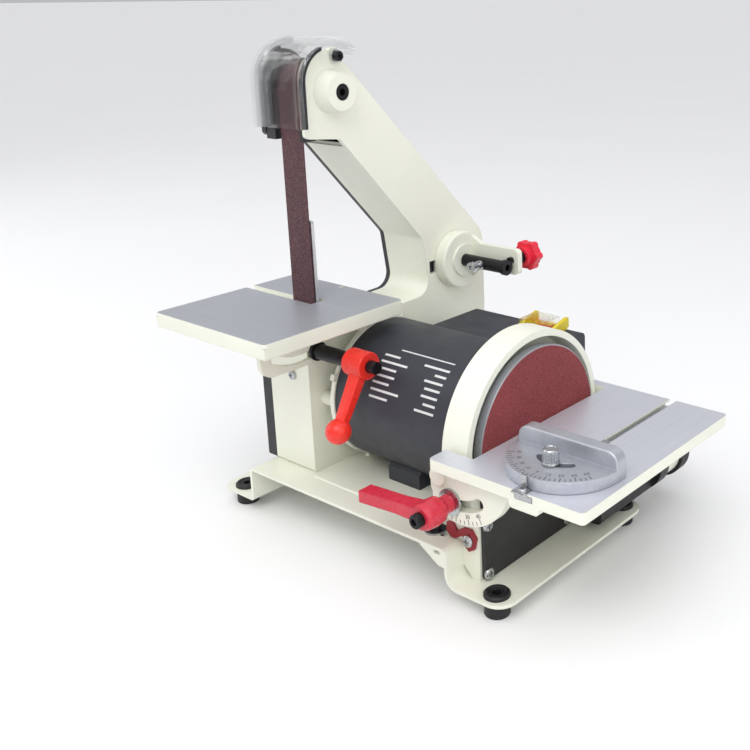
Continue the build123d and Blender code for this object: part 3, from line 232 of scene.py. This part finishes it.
FINISH = {
    cream: ["base_plate", "belt_end_bell", "belt_frame", "tension_arm", "belt_trunnion", "disc_guard",
            "dust_port", "disc_trunnions"],
    black_shell: ["motor_shell", "switch_box", "disc_end_bell", "motor_foot"],
    black_plastic: ["cooling_fan", "cable_gland", "belt_side_cover", "head_shroud", "dust_duct"],
    panel_black: ["disc_panel"],
    black_steel: ["base_bolts", "idler_axle", "tension_axle", "tracking_stud", "belt_clamp_stud",
                  "disc_clamp_bolts", "eye_guard_screw"],
    rubber: ["rubber_feet", "port_ring"],
    lever_red: ["belt_lever"], clamp_red: ["disc_clamp_lever"], knob_red: ["tracking_knob"],
    pointer_red: ["tilt_pointer"], yellow: ["switch_bezel"], rocker_red: ["switch_rocker"],
    zinc: ["case_screws", "drive_wheel_nut", "tension_lock_screw", "washers", "guard_screws", "miter_bar",
           "miter_pointer", "miter_knob"],
    bright: ["stator_core", "rotor_core", "motor_shaft", "motor_bearings", "idler_bearings",
             "tension_bearings"],
    platen_steel: ["platen"],
    copper: ["stator_windings"],
    cast: ["drive_wheel", "idler_wheel", "tension_wheel", "disc_plate", "miter_head"],
    belt_top: ["belt_table"], disc_top: ["disc_table"],
    belt_grit: ["sanding_belt"], disc_grit: ["abrasive_disc"],
    clear: ["eye_guard", "switch_boot"],
}
for finish, names in FINISH.items():
    for name in names:
        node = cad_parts[name]
        node.data.materials.clear()
        node.data.materials.append(finish.mat)


# ---- pieces that the castings carry ----
def piece(name, verts, faces, finish, body, smooth=False):
    """Mesh from points in millimetres, riding on a body."""
    mesh = bpy.data.meshes.new(name)
    mesh.from_pydata([(x * MM, y * MM, z * MM) for x, y, z in verts], [], faces)
    mesh.validate()
    mesh.materials.append(finish.mat)
    for face in mesh.polygons:
        face.use_smooth = smooth
    obj = bpy.data.objects.new(name, mesh)
    bpy.context.scene.collection.objects.link(obj)
    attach(obj, body)
    return obj


def bars(rows, place):
    """Thin raised bars: rows of (u0, u1, v0, v1) put on a surface by place(u, v, height)."""
    verts, faces = [], []
    for u0, u1, v0, v1 in rows:
        steps = max(1, int(abs(v1 - v0) / 3))
        for i in range(steps):
            va, vb = v0 + (v1 - v0) * i / steps, v0 + (v1 - v0) * (i + 1) / steps
            k = len(verts)
            corners = [(u0, va), (u1, va), (u1, vb), (u0, vb)]
            verts += [place(u, v, -0.05) for u, v in corners] + [place(u, v, 0.12) for u, v in corners]
            faces += [(k + 4, k + 5, k + 6, k + 7), (k, k + 3, k + 2, k + 1)]
            faces += [(k + j, k + (j + 1) % 4, k + 4 + (j + 1) % 4, k + 4 + j) for j in range(4)]
    return verts, faces


def ticks(radius, start, end, step, long_step, length, width, place):
    """Radial ticks as thin bars; every long_step degrees one is longer."""
    verts, faces = [], []
    count = int(round((end - start) / step))
    for i in range(count + 1):
        angle = start + i * step
        reach = length * (1.6 if abs((angle - start) % long_step) < 0.01 else 1.0)
        a = radians(angle)
        c, s = cos(a), sin(a)
        k = len(verts)
        inner, half = radius - reach, width / 2
        corners = [(inner, -half), (radius, -half), (radius, half), (inner, half)]
        flat = [(r * c - w * s, r * s + w * c) for r, w in corners]
        verts += [place(u, v, -0.05) for u, v in flat] + [place(u, v, 0.1) for u, v in flat]
        faces += [(k + 4, k + 5, k + 6, k + 7), (k, k + 3, k + 2, k + 1)]
        faces += [(k + j, k + (j + 1) % 4, k + 4 + (j + 1) % 4, k + 4 + j) for j in range(4)]
    return verts, faces


def digits(name, text, height, matrix, finish, body):
    """A number as a thin mesh."""
    curve = bpy.data.curves.new(name + "_curve", "FONT")
    curve.body, curve.size, curve.extrude = text, height * MM, 0.00006
    curve.align_x, curve.align_y = "CENTER", "CENTER"
    curve.resolution_u = 2
    temp = bpy.data.objects.new(name + "_curve", curve)
    bpy.context.scene.collection.objects.link(temp)
    mesh = bpy.data.meshes.new_from_object(temp.evaluated_get(bpy.context.evaluated_depsgraph_get()))
    bpy.data.objects.remove(temp)
    mesh.transform(matrix)
    mesh.materials.clear()
    mesh.materials.append(finish.mat)
    obj = bpy.data.objects.new(name, mesh)
    bpy.context.scene.collection.objects.link(obj)
    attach(obj, body)


mark_grey = paint("scale_grey", rgb(112, 110, 104), 0.6, 0.5, 0.2)
mark_dark = paint("scale_dark", rgb(96, 98, 106), 0.5, 0.5, 0.2)
mark_white = paint("label_white", rgb(225, 226, 226), 0.5, 0.5, 0.15)

# tilt scale on the front trunnion, read by the red pointer
TX, TZ = 111.0, 108.0


def on_trunnion(u, v, h):
    return (TX + u, -84.0 - h, TZ + v)


verts, faces = ticks(44.8, -108, -63, 5, 15, 2.4, 0.5, on_trunnion)
piece("tilt_scale_ticks", verts, faces, mark_grey, "disc_table_group")
for i, text in enumerate(("0", "15", "30", "45")):
    a = radians(-108 + 15 * i)
    spot = Matrix.Translation(((TX + 39.2 * cos(a)) * MM, -0.0841, (TZ + 39.2 * sin(a)) * MM))
    turn = Matrix.Rotation(radians(90), 4, "X") @ Matrix.Rotation(a + pi / 2, 4, "Z")
    digits("tilt_number_" + text, text, 4.2, spot @ turn, mark_grey, "disc_table_group")

# angle scale on the mitre head
HX, HY, HZ = 174.5, -48.0, 116.25


def on_head(u, v, h):
    return (HX + u, HY + v, HZ + h)


verts, faces = ticks(38.6, -150, -30, 5, 15, 3.0, 0.55, on_head)
piece("miter_scale_ticks", verts, faces, mark_dark, "miter_body")
for i, text in enumerate(("60", "45", "30", "15", "0", "15", "30", "45", "60")):
    a = radians(-150 + 15 * i)
    spot = Matrix.Translation(((HX + 31.0 * cos(a)) * MM, (HY + 31.0 * sin(a)) * MM, HZ * MM))
    turn = Matrix.Rotation(a + pi / 2, 4, "Z")
    digits("miter_number_%d" % i, text, 4.2, spot @ turn, mark_dark, "miter_body")

# plain data panel on the motor: a rule and rows of blank bars
SHELL = 55.2


def on_shell(u, v, h):
    """u along the motor, v round it, measured forward from the top."""
    a = v / SHELL
    r = SHELL + h
    return (u, -r * sin(a), 98.5 + r * cos(a))


PANEL_LEFT, PANEL_RIGHT, PANEL_TOP = -6.0, 60.0, 29.0
rows = [(PANEL_LEFT + 12, PANEL_RIGHT, PANEL_TOP, PANEL_TOP + 1.1)]
for i in range(7):
    v = PANEL_TOP + 6.6 + i * 5.5
    rows.append((PANEL_LEFT, PANEL_LEFT + (16, 27, 19, 20, 17, 29, 19)[i], v, v + 1.8))
    rows.append((PANEL_RIGHT - (25, 11, 18, 15, 16, 12, 19)[i], PANEL_RIGHT, v, v + 1.8))
verts, faces = bars(rows, on_shell)
piece("data_panel_bars", verts, faces, mark_white, "machine")

# knurled knob of the mitre gauge
lo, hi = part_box("miter_knob")
KX, KY = (lo[0] + hi[0]) / 2 / MM, (lo[1] + hi[1]) / 2 / MM
kz0, kz1 = lo[2] / MM, hi[2] / MM
# radius, height, and 1 where the surface is fluted
profile = [(2.6, kz0 + 0.02, 0), (5.7, kz0 + 0.02, 0), (5.9, kz0 + 0.6, 0), (5.7, kz0 + 1.2, 0),
           (5.0, kz0 + 1.5, 0), (5.2, kz0 + 2.2, 1), (5.2, kz1 - 1.6, 1), (4.9, kz1 - 0.7, 0),
           (4.4, kz1 - 0.15, 0), (3.9, kz1 - 0.05, 0), (3.6, kz1 - 0.5, 0), (0.01, kz1 - 0.5, 0)]
verts, faces = [], []
SEG = 96
for r, z, fluted in profile:
    for i in range(SEG):
        a = 2 * pi * i / SEG
        rr = r + (0.22 * cos(a * 28) if fluted else 0)
        verts.append((KX + rr * cos(a), KY + rr * sin(a), z))
for j in range(len(profile) - 1):
    for i in range(SEG):
        k, m = j * SEG + i, j * SEG + (i + 1) % SEG
        faces.append((k, m, m + SEG, k + SEG))
knob = piece("miter_knob_knurled", verts, faces, zinc, "miter_lock")
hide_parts("miter_knob")


# ---- stage, light and camera ----
def area(name, place, aim, size, power, color=(1, 1, 1)):
    data = bpy.data.lights.new(name, "AREA")
    data.energy, data.size, data.color = power, size, color
    lamp = bpy.data.objects.new(name, data)
    bpy.context.scene.collection.objects.link(lamp)
    lamp.location = place
    lamp.rotation_euler = (Vector(aim) - Vector(place)).to_track_quat("-Z", "Y").to_euler()


def overcast(name, strength, spread):
    """Even light from above, the same over the whole floor."""
    data = bpy.data.lights.new(name, "SUN")
    data.energy, data.angle = strength, radians(spread)
    lamp = bpy.data.objects.new(name, data)
    bpy.context.scene.collection.objects.link(lamp)


bpy.ops.mesh.primitive_plane_add(size=400, location=(0, 0, 0))
floor = bpy.context.object
floor.name = "floor"
floor_mat = Nodes("floor_pale")
floor_tone = floor_mat.mix(floor_mat.noise(3, 2), (0.86, 0.86, 0.86, 1), (0.89, 0.89, 0.89, 1))
floor_mat.set(Base_Color=floor_tone, Roughness=0.8)
floor.data.materials.append(floor_mat.mat)

area("key", (0.5, -1.2, 1.5), (0, 0, 0.15), 1.1, 12)
area("fill", (1.6, -0.5, 0.9), (0, 0, 0.12), 1.4, 8.5)
overcast("top", 1.1, 90)
area("left", (-1.5, -0.7, 0.9), (0, 0, 0.15), 1.2, 6.5)
world = bpy.data.worlds.new("studio")
world.use_nodes = True
world.node_tree.nodes["Background"].inputs["Color"].default_value = (0.95, 0.96, 1.0, 1)
world.node_tree.nodes["Background"].inputs["Strength"].default_value = 0.52
bpy.context.scene.world = world
bpy.context.scene.view_settings.view_transform = "Standard"

yaw, pitch, roll = radians(36.70), radians(13.24), radians(-0.56)
forward = Vector((-sin(yaw) * cos(pitch), cos(yaw) * cos(pitch), -sin(pitch)))
right = forward.cross(Vector((0, 0, 1))).normalized()
up = right.cross(forward)
right, up = right * cos(roll) + up * sin(roll), up * cos(roll) - right * sin(roll)
camera_data = bpy.data.cameras.new("camera")
camera = bpy.data.objects.new("camera", camera_data)
bpy.context.scene.collection.objects.link(camera)
camera.matrix_world = Matrix((
    (right.x, up.x, -forward.x, 0.5359), (right.y, up.y, -forward.y, -0.5282),
    (right.z, up.z, -forward.z, 0.4038), (0, 0, 0, 1)))
camera_data.sensor_width = 36
camera_data.lens = 1010 / 750 * 36
camera_data.shift_x = (375 - 569) / 750
camera_data.shift_y = (233 - 375) / 750
camera_data.clip_start = 0.01
bpy.context.scene.camera = camera
